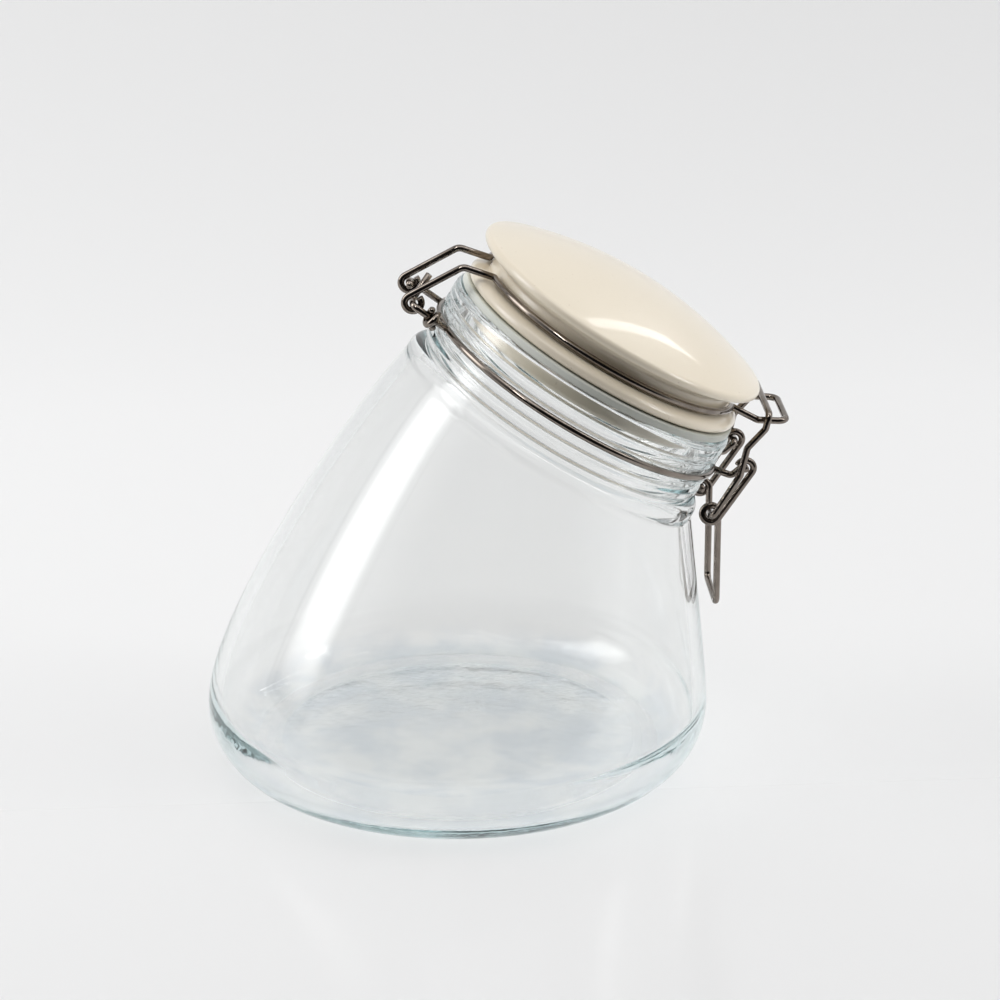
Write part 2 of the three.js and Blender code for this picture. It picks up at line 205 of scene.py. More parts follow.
def rounded(points, radius, step=ARC_STEP, least_turn=0.02):
    """The points of a route with each corner rounded. radius is one number or one for each point."""
    radii = radius if isinstance(radius, (list, tuple)) else [radius] * len(points)
    route = [points[0].copy()]
    for before, corner, after, wanted in zip(points, points[1:], points[2:], radii[1:]):
        back = before - corner
        ahead = after - corner
        turn = math.pi - back.angle(ahead)
        if turn < least_turn or wanted == 0:
            route.append(corner.copy())
            continue
        half = math.tan(turn / 2)
        setback = min(wanted * half, CORNER_ROOM * min(back.length, ahead.length))
        start = corner + back.normalized() * setback
        middle = (back.normalized() + ahead.normalized()).normalized()
        centre = corner + middle * (setback / half / math.cos(turn / 2))
        axis = (corner - start).cross(after - corner)
        steps = max(2, math.ceil(turn / step))
        for i in range(steps + 1):
            spin = Matrix.Rotation(turn * i / steps, 3, axis)
            route.append(centre + spin @ (start - centre))
    route.append(points[-1].copy())
    return route


def at(radius, height):
    """A point of a profile."""
    return Vector((radius, 0, height))


def quarter(start, end, steps, level_first):
    """A quarter of an ellipse from start to end, without start, in the plane of a profile."""
    points = []
    for i in range(1, steps + 1):
        angle = math.pi / 2 * i / steps
        level = math.sin(angle) if level_first else 1 - math.cos(angle)
        upright = 1 - math.cos(angle) if level_first else math.sin(angle)
        x = start.x + (end.x - start.x) * level
        z = start.z + (end.z - start.z) * upright
        points.append(at(x, z))
    return points


def turned(bm, profile, steps, closed=False):
    """Spins a profile once round the Z axis and closes seam and poles."""
    verts = [bm.verts.new(point) for point in profile]
    edges = [bm.edges.new(pair) for pair in zip(verts, verts[1:])]
    if closed:
        edges.append(bm.edges.new((verts[-1], verts[0])))
    bmesh.ops.spin(
        bm,
        geom=verts + edges,
        cent=(0, 0, 0),
        axis=(0, 0, 1),
        angle=2 * math.pi,
        steps=steps,
        use_merge=True,
    )
    bmesh.ops.remove_doubles(bm, verts=bm.verts, dist=1e-6)
    bmesh.ops.dissolve_degenerate(bm, edges=bm.edges, dist=1e-7)
    bmesh.ops.recalc_face_normals(bm, faces=bm.faces)


def finished(name, bm, material, body, node):
    """Turns a bmesh into a smooth piece that stands for a measured node."""
    for face in bm.faces:
        face.smooth = True
    mesh = bpy.data.meshes.new(name)
    bm.to_mesh(mesh)
    bm.free()
    mesh.materials.append(material)
    piece = bpy.data.objects.new(name, mesh)
    bpy.context.scene.collection.objects.link(piece)
    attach(piece, body)
    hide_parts(node)
    triangles = sum(len(polygon.vertices) - 2 for polygon in mesh.polygons)
    print(name, "has", triangles, "triangles")
    return piece


# %% [markdown]
# ## Clear glass
# Pressed glass is never perfectly even: its walls are a little wavy, its base is mottled where it was
# cooled on a plate, and it is faintly teal where you look through a long stretch of it. The waves are a
# slow bump, and the mottling is a finer, stronger one, with clouds in the colour, that a mask on height
# keeps to the base. The tint is a volume that absorbs. Lamps would leave a black shadow behind solid
# glass, so rays from lamps pass through a clear shader instead.

# %% Glass material
CLEAR = (0.963, 0.961, 0.957)
CLOUDED = (0.84, 0.862, 0.892)
LAMP_TINT = (0.95, 0.955, 0.955, 1)
DEEP_TINT = (0.45, 0.76, 0.79, 1)
TINT_DENSITY = 5.0
GLASS_IOR = 1.5
WAVE_SCALE = 28.0
MOTTLE_SCALE = 95.0
CLOUD_SCALE = 55.0
MOTTLE_LOW = 6 * MM
MOTTLE_HIGH = 12 * MM
WAVE_SHARE = 0.12
MOTTLE_SHARE = 0.75
RELIEF_DEPTH = 0.9 * MM
RELIEF_STRENGTH = 0.3


def clear_glass():
    glass = Finish(bpy.data.materials.new("clear_glass"))
    place = glass.place()
    height = glass.node("ShaderNodeSeparateXYZ", {}, {"Vector": place}, output="Z")
    base = 1 - glass.spread(height, MOTTLE_LOW, MOTTLE_HIGH)
    waves = glass.noise(place, WAVE_SCALE, 1.0)
    mottle = glass.noise(place, MOTTLE_SCALE, 3.0, 0.55)
    clouds = glass.spread(glass.noise(place, CLOUD_SCALE, 3.0, 0.6), 0.4, 0.62) * base
    relief = waves * WAVE_SHARE + mottle * base * MOTTLE_SHARE
    principled = glass.node(
        "ShaderNodeBsdfPrincipled",
        {},
        {
            "Base Color": glass.blend(clouds, CLEAR, CLOUDED),
            "Roughness": 0.0,
            "IOR": GLASS_IOR,
            "Transmission Weight": 1.0,
            "Normal": glass.bump(relief, RELIEF_DEPTH, RELIEF_STRENGTH),
        },
    )
    lamp_ray = glass.node("ShaderNodeLightPath", output="Is Shadow Ray")
    clear = glass.node("ShaderNodeBsdfTransparent", {}, {"Color": LAMP_TINT})
    shader = glass.node("ShaderNodeMixShader", {}, {0: lamp_ray, 1: principled, 2: clear})
    tint = glass.node("ShaderNodeVolumeAbsorption", {}, {"Color": DEEP_TINT, "Density": TINT_DENSITY})
    return glass.surface(shader, tint)


glass_material = clear_glass()
print("made", glass_material.name, "with", len(glass_material.node_tree.nodes), "nodes")

# %% [markdown]
# ## The glass body
# The jar is easiest to see as a straight turned pot that was bent: one profile goes from under the base
# up the outside, over the lip and down the inside to the floor. It is spun upright, and then every ring
# of points is moved to its station. Below the heel the rings stay level, up the body they hang between a
# back rail and a front rail, and in the neck they are all tilted alike.

# %% Glass body
FOOT_RADIUS = 65 * MM
FOOT_INNER_RADIUS = 57 * MM
PUSH_UP = 1.6 * MM
HEEL_HEIGHT = 18.3 * MM
WALL = 4.2 * MM
FLOOR_HEIGHT = 6.5 * MM
FLOOR_CROWN = 1 * MM
FLOOR_RADIUS = 66 * MM
INNER_HEEL_HEIGHT = 24 * MM
SHOULDER_DROP = 16.7 * MM
SHOULDER_RADIUS = 52 * MM
BODY_RUN = 95 * MM
NECK_START = HEEL_HEIGHT + BODY_RUN
BACK_RISE = 23 * MM
BACK_LEAN = math.radians(42)
BACK_SWEEP = 31 * MM
FRONT_RISE = 8 * MM
FRONT_SWEEP = Vector((-0.8, 0, 11)) * MM
NECK_RADIUS = 48 * MM
RIDGE_RADIUS = 49.4 * MM
RIDGE_EDGE = 0.9 * MM
RIDGES = [(-9.4, -5.6), (-4.9, -1.5), (1.5, 5.4)]
SHOULDER_BEAD = (-14.8 * MM, -11.2 * MM)
LIP_LOW = 5.4 * MM
LIP_BEND = 9.3 * MM
LIP_TOP = 11.3 * MM
LIP_WIDTH = 2 * MM
BORE_RADIUS = 43.8 * MM
BORE_LOW = -10 * MM
RIDGE_ROUND = 0.8 * MM
FOOT_ROUND = 8 * MM
GLASS_ROUND = 192
BODY_STEPS = 40
QUARTER_STEPS = 14

back_top = NECK @ Vector((-SHOULDER_RADIUS, 0, -SHOULDER_DROP))
front_top = NECK @ Vector((SHOULDER_RADIUS, 0, -SHOULDER_DROP))
back_foot = Vector((BODY_X - BODY_RADIUS, 0, HEEL_HEIGHT))
front_foot = Vector((BODY_X + BODY_RADIUS, 0, HEEL_HEIGHT))
back_pull = Vector((math.sin(BACK_LEAN), 0, math.cos(BACK_LEAN))) * BACK_SWEEP
back_rail = [back_foot, back_foot + Vector((0, 0, BACK_RISE)), back_top - back_pull, back_top]
front_rail = [front_foot, front_foot + Vector((0, 0, FRONT_RISE)), front_top - FRONT_SWEEP, front_top]


def on_rail(rail, share):
    """The point at a share of a rail: neighbouring points are joined and cut there until one is left."""
    points = rail
    while len(points) > 1:
        points = [first.lerp(second, share) for first, second in zip(points, points[1:])]
    return points[0]


def station_at(station):
    """Centre, lean and outer radius of the glass at a station of the straight pot."""
    if station <= HEEL_HEIGHT:
        return Vector((BODY_X, 0, station)), 0.0, BODY_RADIUS
    if station >= NECK_START:
        return NECK @ Vector((0, 0, station - NECK_START - SHOULDER_DROP)), TILT, SHOULDER_RADIUS
    share = (station - HEEL_HEIGHT) / BODY_RUN
    back = on_rail(back_rail, share)
    front = on_rail(front_rail, share)
    span = front - back
    return (back + front) / 2, math.atan2(-span.z, span.x), span.length / 2


def neck_profile():
    """Shoulder bead, ridges, lip and bore, from the shoulder to the bottom of the bore."""
    level = NECK_START + SHOULDER_DROP
    bead = at(SHOULDER_RADIUS, level + SHOULDER_BEAD[0])
    bead_top = at(NECK_RADIUS, level + SHOULDER_BEAD[1])
    ridges = [bead_top]
    for low, high in RIDGES:
        ridges.append(at(NECK_RADIUS, level + low * MM))
        ridges.append(at(RIDGE_RADIUS, level + low * MM + RIDGE_EDGE))
        ridges.append(at(RIDGE_RADIUS, level + high * MM - RIDGE_EDGE))
        ridges.append(at(NECK_RADIUS, level + high * MM))
    ridges.append(at(RIDGE_RADIUS, level + LIP_LOW + RIDGE_EDGE))
    lip = at(RIDGE_RADIUS, level + LIP_BEND)
    ridges.append(lip)
    inside = at(BORE_RADIUS + LIP_TOP - LIP_BEND, level + LIP_TOP)
    outside = at(inside.x + LIP_WIDTH, level + LIP_TOP)
    points = [bead] + quarter(bead, bead_top, QUARTER_STEPS, False)[:-1]
    points += rounded(ridges, RIDGE_ROUND)
    points += quarter(lip, outside, QUARTER_STEPS, False)
    points += [inside] + quarter(inside, at(BORE_RADIUS, level + LIP_BEND), QUARTER_STEPS, True)
    return points + [at(BORE_RADIUS, level + BORE_LOW)]


def glass_profile():
    """From under the base up the outside, through the neck and down the inside to the floor."""
    foot = at(FOOT_RADIUS, 0)
    profile = rounded([at(0, PUSH_UP), at(FOOT_INNER_RADIUS, 0), foot], FOOT_ROUND)
    profile += quarter(foot, at(BODY_RADIUS, HEEL_HEIGHT), QUARTER_STEPS, True)
    for i in range(1, BODY_STEPS + 1):
        station = HEEL_HEIGHT + BODY_RUN * i / BODY_STEPS
        profile.append(at(station_at(station)[2], station))
    profile += neck_profile()
    for i in range(BODY_STEPS + 1):
        station = NECK_START + (INNER_HEEL_HEIGHT - NECK_START) * i / BODY_STEPS
        profile.append(at(station_at(station)[2] - WALL, station))
    profile += quarter(profile[-1], at(FLOOR_RADIUS, FLOOR_HEIGHT), QUARTER_STEPS, False)
    profile.append(at(0, FLOOR_HEIGHT + FLOOR_CROWN))
    return profile


glass_bm = bmesh.new()
turned(glass_bm, glass_profile(), GLASS_ROUND)
for vert in glass_bm.verts:
    centre, lean, _ = station_at(vert.co.z)
    across = vert.co.x
    vert.co = Vector((centre.x + across * math.cos(lean), vert.co.y, centre.z - across * math.sin(lean)))
finished("jar_glass", glass_bm, glass_material, "jar", "glass_body")

# %% [markdown]
# ## Glazed ceramic
# The lid is slip-cast ceramic under an ivory glaze. Up close a glaze is not one flat colour: it is a
# little warmer where it lies thin and a little paler where it pooled, it has a faint orange-peel surface,
# and here and there a tiny speck. A clear coat over the colour gives the wet gloss.

# %% Ceramic material
GLAZE_THIN = (0.80, 0.71, 0.56)
GLAZE_POOLED = (0.84, 0.76, 0.62)
SPECK = (0.50, 0.40, 0.28, 1)
SPECK_SHARE = 0.35
POOL_SCALE = 22.0
SPECK_SCALE = 900.0
PEEL_SCALE = 420.0
PEEL_DEPTH = 0.04 * MM
PEEL_STRENGTH = 0.4


def ivory_glaze():
    glaze = Finish(bpy.data.materials.new("ivory_glaze"))
    place = glaze.place()
    pooled = glaze.noise(place, POOL_SCALE, 2.0)
    speck = glaze.spread(glaze.noise(place, SPECK_SCALE, 1.0), 0.74, 0.80)
    base = glaze.blend(pooled, GLAZE_THIN, GLAZE_POOLED)
    specked = glaze.node(
        "ShaderNodeMix",
        {"data_type": "RGBA"},
        {"Factor": speck * SPECK_SHARE, 6: base, 7: SPECK},
        output=2,
    )
    peel = glaze.noise(place, PEEL_SCALE, 2.0)
    principled = glaze.node(
        "ShaderNodeBsdfPrincipled",
        {},
        {
            "Base Color": specked,
            "Roughness": glaze.spread(pooled, 0.0, 1.0, 0.26, 0.32),
            "IOR": 1.5,
            "Coat Weight": 0.55,
            "Coat Roughness": 0.06,
            "Normal": glaze.bump(peel, PEEL_DEPTH, PEEL_STRENGTH),
        },
    )
    return glaze.surface(principled)


glaze_material = ivory_glaze()
print("made", glaze_material.name)

# %% [markdown]
# ## The lid
# Turned in the neck's own frame, from the plug up: the plug that fits the mouth, a rounded lower rim that
# sits on the seal, a waist for the clamp's wire, and a thin rounded rim under a shallow dome.

# %% Lid
BAIL_RADIUS = 44.1 * MM
BAIL_GAP = 0.4 * MM
PLUG_RADIUS = 41.6 * MM
PLUG_LOW = 5.4 * MM
PLUG_EDGE = 1.2 * MM
LID_SEAT = 14.6 * MM
LOWER_RIM_RADIUS = 47.8 * MM
LOWER_RIM_HEIGHT = 16.5 * MM
WAIST_LOW = 19.1 * MM
WAIST_HIGH = 24.4 * MM
WAIST_ROUND = 1.2 * MM
LID_RIM_RADIUS = 49.3 * MM
LID_RIM_HEIGHT = 28.4 * MM
LID_EDGE = 1.7 * MM
LID_EDGE_TURN = math.radians(70)
LID_DOME = 9.2 * MM
LID_ROUND = 160
DOME_STEPS = 36


def lid_profile():
    waist = BAIL_RADIUS - WIRE / 2 - BAIL_GAP
    seat = at(LOWER_RIM_RADIUS - LID_EDGE, LID_SEAT)
    lower_rim = at(LOWER_RIM_RADIUS, LOWER_RIM_HEIGHT)
    plug = [at(0, PLUG_LOW), at(PLUG_RADIUS, PLUG_LOW), at(PLUG_RADIUS, LID_SEAT), seat]
    profile = rounded(plug, [0, 1.6 * PLUG_EDGE, 0.6 * PLUG_EDGE, 0])
    profile += quarter(seat, lower_rim, QUARTER_STEPS, True)
    rim = []
    for i in range(2 * QUARTER_STEPS + 1):
        angle = (i / QUARTER_STEPS - 1) * LID_EDGE_TURN
        rim.append(
            at(
                LID_RIM_RADIUS - LID_EDGE * (1 - math.cos(angle)),
                LID_RIM_HEIGHT + LID_EDGE * math.sin(angle),
            )
        )
    above = quarter(lower_rim, at(waist, WAIST_LOW), QUARTER_STEPS, False)
    profile += rounded(above + [at(waist, WAIST_HIGH), rim[0]], WAIST_ROUND, least_turn=0.3) + rim[1:]
    foot = rim[-1]
    for i in range(1, DOME_STEPS + 1):
        share = 1 - i / DOME_STEPS
        profile.append(at(foot.x * share, foot.z + LID_DOME * (1 - share**2)))
    return profile


lid_bm = bmesh.new()
turned(lid_bm, lid_profile(), LID_ROUND)
bmesh.ops.transform(lid_bm, matrix=NECK, verts=lid_bm.verts)
lid = finished("ceramic_lid", lid_bm, glaze_material, "lid_unit", "lid")

# %% [markdown]
# ## The seal
# A flat ring of pale silicone-like rubber. Light soaks a little way into it, so it gets some subsurface
# colour, and its skin has the fine grain of a mould.

# %% Seal
GASKET_BORE = 42.3 * MM
GASKET_RADIUS = 48.2 * MM
GASKET_LOW = 11.7 * MM
GASKET_HIGH = 14.3 * MM
GASKET_EDGE = 0.7 * MM
RUBBER_DARK = (0.64, 0.66, 0.60)
RUBBER_PALE = (0.73, 0.745, 0.69)
RUBBER_SOAK = (2 * MM, 2 * MM, 2 * MM)
RUBBER_SCALE = 45.0
GRAIN_SCALE = 1500.0
GRAIN_DEPTH = 0.03 * MM
GRAIN_STRENGTH = 0.4


def pale_rubber():
    rubber = Finish(bpy.data.materials.new("pale_rubber"))
    place = rubber.place()
    cloud = rubber.spread(rubber.noise(place, RUBBER_SCALE, 3.0), 0.35, 0.65)
    grain = rubber.noise(place, GRAIN_SCALE, 2.0)
    principled = rubber.node(
        "ShaderNodeBsdfPrincipled",
        {},
        {
            "Base Color": rubber.blend(cloud, RUBBER_DARK, RUBBER_PALE),
            "Roughness": rubber.spread(grain, 0.3, 0.7, 0.38, 0.52),
            "Subsurface Weight": 0.25,
            "Subsurface Radius": RUBBER_SOAK,
            "Normal": rubber.bump(grain, GRAIN_DEPTH, GRAIN_STRENGTH),
        },
    )
    return rubber.surface(principled)


rubber_material = pale_rubber()
seal_bm = bmesh.new()
seal_corners = [
    at(GASKET_BORE, (GASKET_LOW + GASKET_HIGH) / 2),
    at(GASKET_BORE, GASKET_LOW),
    at(GASKET_RADIUS, GASKET_LOW),
    at(GASKET_RADIUS, GASKET_HIGH),
    at(GASKET_BORE, GASKET_HIGH),
    at(GASKET_BORE, (GASKET_LOW + GASKET_HIGH) / 2),
]
turned(seal_bm, rounded(seal_corners, GASKET_EDGE)[:-1], LID_ROUND, closed=True)
bmesh.ops.transform(seal_bm, matrix=NECK, verts=seal_bm.verts)
finished("rubber_seal", seal_bm, rubber_material, "lid_unit", "gasket")

# %% [markdown]
# ## Dark nickel wire
# The clamp is drawn steel wire with a dark nickel plating. Drawing leaves fine lines along the wire, so
# the wire carries its own coordinates: two for the place round the section and one, much slower, along
# the run. A noise on those stretches into lines. Handling leaves duller patches, which come from a slow
# noise in space.

# %% Wire material
NICKEL_DARK = (0.19, 0.162, 0.14)
NICKEL_WORN = (0.27, 0.235, 0.205)
DULL_SHARE = 0.03
LINE_SCALE = 4.0
PATCH_SCALE = 160.0
LINE_DEPTH = 0.02 * MM
LINE_STRENGTH = 0.15


def dark_nickel():
    nickel = Finish(bpy.data.materials.new("dark_nickel"))
    place = nickel.place()
    drawn = nickel.node("ShaderNodeAttribute", {"attribute_name": "drawn"}, output="Vector")
    lines = nickel.noise(drawn, LINE_SCALE, 3.0, 0.6)
    patches = nickel.spread(nickel.noise(place, PATCH_SCALE, 3.0), 0.35, 0.7)
    principled = nickel.node(
        "ShaderNodeBsdfPrincipled",
        {},
        {
            "Base Color": nickel.blend(patches, NICKEL_DARK, NICKEL_WORN),
            "Metallic": 1.0,
            "Roughness": nickel.spread(lines, 0.3, 0.7, 0.05, 0.11) + patches * DULL_SHARE,
            "Normal": nickel.bump(lines, LINE_DEPTH, LINE_STRENGTH),
        },
    )
    return nickel.surface(principled)


nickel_material = dark_nickel()
print("made", nickel_material.name)

# %% [markdown]
# ## Bending wire
# One ring of edges is set across the route's start. For each further point it is extruded, and the new
# ring is carried along by the smallest turn that follows the route, so that the section never twists. The
# ends are filled.

# %% Wire helpers
WIRE_SIDES = 20
LINE_STRETCH = 0.05
EYE_RADIUS = 2.6 * MM
EYE_STEP = 12


def directions_of(route):
    """The direction of a route at each of its points: the mean of the runs before and after it."""
    runs = [(after - before).normalized() for before, after in zip(route, route[1:])]
    inner = [(before + after).normalized() for before, after in zip(runs, runs[1:])]
    return [runs[0]] + inner + [runs[-1]]


def bend_wire(bm, route):
    """Adds a round wire along a route, with coordinates for its drawn lines. A ring ends where it starts."""
    is_ring = (route[0] - route[-1]).length < WIRE / 10
    drawn = bm.verts.layers.float_vector.get("drawn") or bm.verts.layers.float_vector.new("drawn")
    directions = directions_of(route)
    if is_ring:
        directions[0] = (directions[0] + directions[-1]).normalized()
        directions[-1] = directions[0]
    turn = directions[0].to_track_quat("Z", "Y")
    placed = Matrix.Translation(route[0]) @ turn.to_matrix().to_4x4()
    ring = bmesh.ops.create_circle(bm, segments=WIRE_SIDES, radius=WIRE / 2, matrix=placed)["verts"]
    for i, vert in enumerate(ring):
        angle = 2 * math.pi * i / WIRE_SIDES
        vert[drawn] = (math.cos(angle), math.sin(angle), 0)
    edges = list({edge for vert in ring for edge in vert.link_edges})
    first = edges
    for i in range(1, len(route)):
        made = bmesh.ops.extrude_edge_only(bm, edges=edges)["geom"]
        verts = [item for item in made if isinstance(item, bmesh.types.BMVert)]
        new_edges = [item for item in made if isinstance(item, bmesh.types.BMEdge)]
        turn = directions[i - 1].rotation_difference(directions[i]) @ turn
        here = Matrix.Translation(route[i]) @ turn.to_matrix().to_4x4()
        bmesh.ops.transform(bm, matrix=here @ placed.inverted(), verts=verts)
        run = (route[i] - route[i - 1]).length
        for vert in verts:
            vert[drawn] = vert[drawn] + Vector((0, 0, run / MM * LINE_STRETCH))
        placed = here
        edges = [edge for edge in new_edges if all(vert in verts for vert in edge.verts)]
    if is_ring:
        bmesh.ops.remove_doubles(bm, verts=bm.verts, dist=1e-6)
    else:
        for end in (first, edges):
            bmesh.ops.holes_fill(bm, edges=end)
    bmesh.ops.recalc_face_normals(bm, faces=bm.faces)


def in_plane(point, y):
    """A point of the clamp: x and z in millimetres from the body's middle, y in metres."""
    return Vector((BODY_X + point[0] * MM, y, point[1] * MM))


def eye(pivot, from_deg, to_deg, y_from, y_to=None):
    """Points of an eye round a pivot, drifting along Y on the way."""
    y_to = y_from if y_to is None else y_to
    centre = in_plane(pivot, 0)
    steps = max(2, round(abs(to_deg - from_deg) / EYE_STEP))
    points = []
    for i in range(steps + 1):
        share = i / steps
        angle = math.radians(from_deg + (to_deg - from_deg) * share)
        off = Vector((math.cos(angle), 0, math.sin(angle))) * EYE_RADIUS
        points.append(centre + off + Vector((0, y_from + (y_to - y_from) * share, 0)))
    return points


def mirrored(points):
    """The same points on the other side of the jar's middle plane, in reverse."""
    return [Vector((point.x, -point.y, point.z)) for point in reversed(points)]


wires = []


def wire_piece(name, route, body, node):
    """Makes one length of wire and keeps it in the list of wires, which the lamps use later."""
    bm = bmesh.new()
    bend_wire(bm, route)
    wires.append(finished(name, bm, nickel_material, body, node))


print("wire of", round(WIRE / MM, 1), "mm with", WIRE_SIDES, "sides")

# %% [markdown]
# ## The lid's wire
# One length of wire: an open curl on each hinge pin, an arm up and over to the lid, an arc in the lid's
# waist on each side, and a nose at the front that the latch holds down.

# %% Lid wire
HINGE = (-13.9, 154.3)
BAIL_BEND = (1.5, 165.4)
NOSE_VALLEY = (93.3, 113.6)
NOSE_TIP = (102.5, 113)
BAIL_HEIGHT = 20.7 * MM
HINGE_ARM_Y = 10.2 * MM
NOSE_Y = 11.2 * MM
BAIL_CORNER = 3 * MM
CURL_TURN = 280
BAIL_STEPS = 72
SHARP_TURN = 0.3


def neck_arc(height, radius, hinge_y, latch_y):
    """An arc round the neck at y < 0, from the hinge side to the latch side."""
    start = math.pi + math.asin(hinge_y / radius)
    end = 2 * math.pi - math.asin(latch_y / radius)
    points = []
    for i in range(BAIL_STEPS + 1):
        angle = start + (end - start) * i / BAIL_STEPS
        points.append(NECK @ Vector((radius * math.cos(angle), radius * math.sin(angle), height)))
    return points


def lid_wire_route():
    arm = in_plane(BAIL_BEND, 0) - in_plane(HINGE, 0)
    touch = math.degrees(math.atan2(arm.z, arm.x) + math.acos(EYE_RADIUS / arm.length))
    front = eye(HINGE, touch + CURL_TURN, touch, -HINGE_ARM_Y)
    front.append(in_plane(BAIL_BEND, -HINGE_ARM_Y))
    front += neck_arc(BAIL_HEIGHT, BAIL_RADIUS, HINGE_ARM_Y, NOSE_Y)
    front += [in_plane(NOSE_VALLEY, -NOSE_Y), in_plane(NOSE_TIP, -NOSE_Y)]
    return rounded(front + mirrored(front), BAIL_CORNER, least_turn=SHARP_TURN)


wire_piece("lid_wire", lid_wire_route(), "lid_unit", "lid_bail")

# %% [markdown]
# ## The latch
# The lever hooks on two pins of the neck wire, runs down to a coil on each side and ends in a loop for a
# finger. The link turns in those coils, is cranked outwards and carries a bar that goes over the nose.

# %% Latch
LEVER_PIVOT = (89.5, 98.4)
LINK_PIVOT = (79, 83)
LINK_STEP = (87.6, 97)
LINK_CRANK = (89.6, 106)
LINK_KNEE = (95.2, 112.2)
LINK_BAR = (96.3, 116.9)
HANDLE_LOW = 52
HANDLE_Y = 10.8 * MM
LEVER_ARM_Y = 13.2 * MM
LINK_Y = 15.8 * MM
LINK_PIN_END_Y = 9.2 * MM
LINK_CORNER = 2 * MM
LEVER_CORNER = 2.5 * MM
HOOK_TURN = 190


def lever_route():
    arm = in_plane(LINK_PIVOT, 0) - in_plane(LEVER_PIVOT, 0)
    square = math.degrees(math.atan2(arm.z, arm.x)) + 90
    side = eye(LEVER_PIVOT, square + HOOK_TURN, square, -LEVER_ARM_Y)
    side += eye(LINK_PIVOT, square, -360, -LEVER_ARM_Y, -HANDLE_Y)
    side.append(in_plane((LINK_PIVOT[0] + EYE_RADIUS / MM, HANDLE_LOW), -HANDLE_Y))
    return rounded(side + mirrored(side), LEVER_CORNER, least_turn=SHARP_TURN)


def link_route():
    side = [in_plane(LINK_PIVOT, -LINK_PIN_END_Y)]
    side += [in_plane(point, -LINK_Y) for point in (LINK_PIVOT, LINK_STEP, LINK_CRANK, LINK_KNEE, LINK_BAR)]
    return rounded(side + mirrored(side), LINK_CORNER)


wire_piece("finger_lever", lever_route(), "lever", "latch_lever")
wire_piece("latch_bar", link_route(), "link", "latch_link")

# %% [markdown]
# ## The neck wire
# A ring lies in a groove of the neck. At the back two lugs rise from it to the hinge pins, and at the
# front two run out to the pins that the lever hooks on. The ring's free end is wound round the near hinge
# lug.

# %% Neck wire
NECK_WIRE_RADIUS = 49.5 * MM
HINGE_LUG_Y = 13.4 * MM
HINGE_PIN_END_Y = 6.8 * MM
HINGE_TAIL = (-8.6, 162.2)
LATCH_LUG_Y = 10.4 * MM
LATCH_PIN_END_Y = 14.3 * MM
LATCH_LUG_BEND = (85.6, 95)
LUG_CORNER = 1.8 * MM
RING_STEPS = 160
TWIST_TURNS = 1.6
TWIST_START = 4.2 * MM
TWIST_RISE = 3.7 * MM
TWIST_RADIUS = 2.25 * MM
TWIST_STEPS = 40


def on_ring(y, side):
    """The ring's point at that y, at the latch for a side of 1 and at the hinge for a side of -1."""
    return NECK @ Vector((side * math.sqrt(NECK_WIRE_RADIUS**2 - y**2), y, 0))


def ring_route():
    """The whole ring, ending where it starts."""
    angles = [2 * math.pi * i / RING_STEPS for i in range(RING_STEPS + 1)]
    return [NECK @ (NECK_WIRE_RADIUS * Vector((math.cos(angle), math.sin(angle), 0))) for angle in angles]


def hinge_lug_route(side):
    """From the ring up to the hinge, and inwards as a pin. The near one ends in a short tail."""
    points = [on_ring(side * HINGE_LUG_Y, -1), in_plane(HINGE, side * HINGE_LUG_Y)]
    points.append(in_plane(HINGE, side * HINGE_PIN_END_Y))
    if side < 0:
        points.append(in_plane(HINGE_TAIL, side * HINGE_PIN_END_Y))
    return rounded(points, LUG_CORNER)


def latch_lug_route(side):
    """From the ring out to the latch, and outwards as a pin."""
    points = [on_ring(side * LATCH_LUG_Y, 1), in_plane(LATCH_LUG_BEND, side * LATCH_LUG_Y)]
    points += [in_plane(LEVER_PIVOT, side * LATCH_LUG_Y), in_plane(LEVER_PIVOT, side * LATCH_PIN_END_Y)]
    return rounded(points, LUG_CORNER)


def twist_route():
    """The ring's free end, wound round the near hinge lug."""
    foot = on_ring(-HINGE_LUG_Y, -1)
    along = (in_plane(HINGE, -HINGE_LUG_Y) - foot).normalized()
    across = along.cross(Vector((0, 1, 0)))
    points = []
    for i in range(TWIST_STEPS + 1):
        angle = TWIST_TURNS * 2 * math.pi * i / TWIST_STEPS
        off = across * math.cos(angle) + Vector((0, 1, 0)) * math.sin(angle)
        points.append(foot + along * (TWIST_START + TWIST_RISE * i / TWIST_STEPS) + off * TWIST_RADIUS)
    return points


wire_piece("neck_ring", ring_route(), "jar", "neck_wire")
wire_piece("hinge_twist", twist_route(), "jar", "neck_wire")
for side, word in ((-1, "near"), (1, "far")):
    wire_piece("hinge_lug_" + word, hinge_lug_route(side), "jar", "neck_wire")
    wire_piece("latch_lug_" + word, latch_lug_route(side), "jar", "neck_wire")

# %% [markdown]
# ## The studio
# The jar stands on a pale sheet that sweeps up into the backdrop. Clear glass shows only what it bends
# and mirrors, so the sheet matters more than the lamps: it glows a little by itself, is glossy near the
# jar and duller further back. Seen from behind it is clear, so the jar can be looked at from every side.

# %% Stage
FLOOR_FRONT = -0.3
SWEEP_START = 0.33
SWEEP_RADIUS = 0.35
STAGE_HALF = 1.1
BACKDROP_TOP = 1.3
SHEET_GLOW = 0.30
SHEET_FRONT = (0.48, 0.48, 0.481)
SHEET_BACK = (0.555, 0.555, 0.556)
SWEEP_STEPS = 24


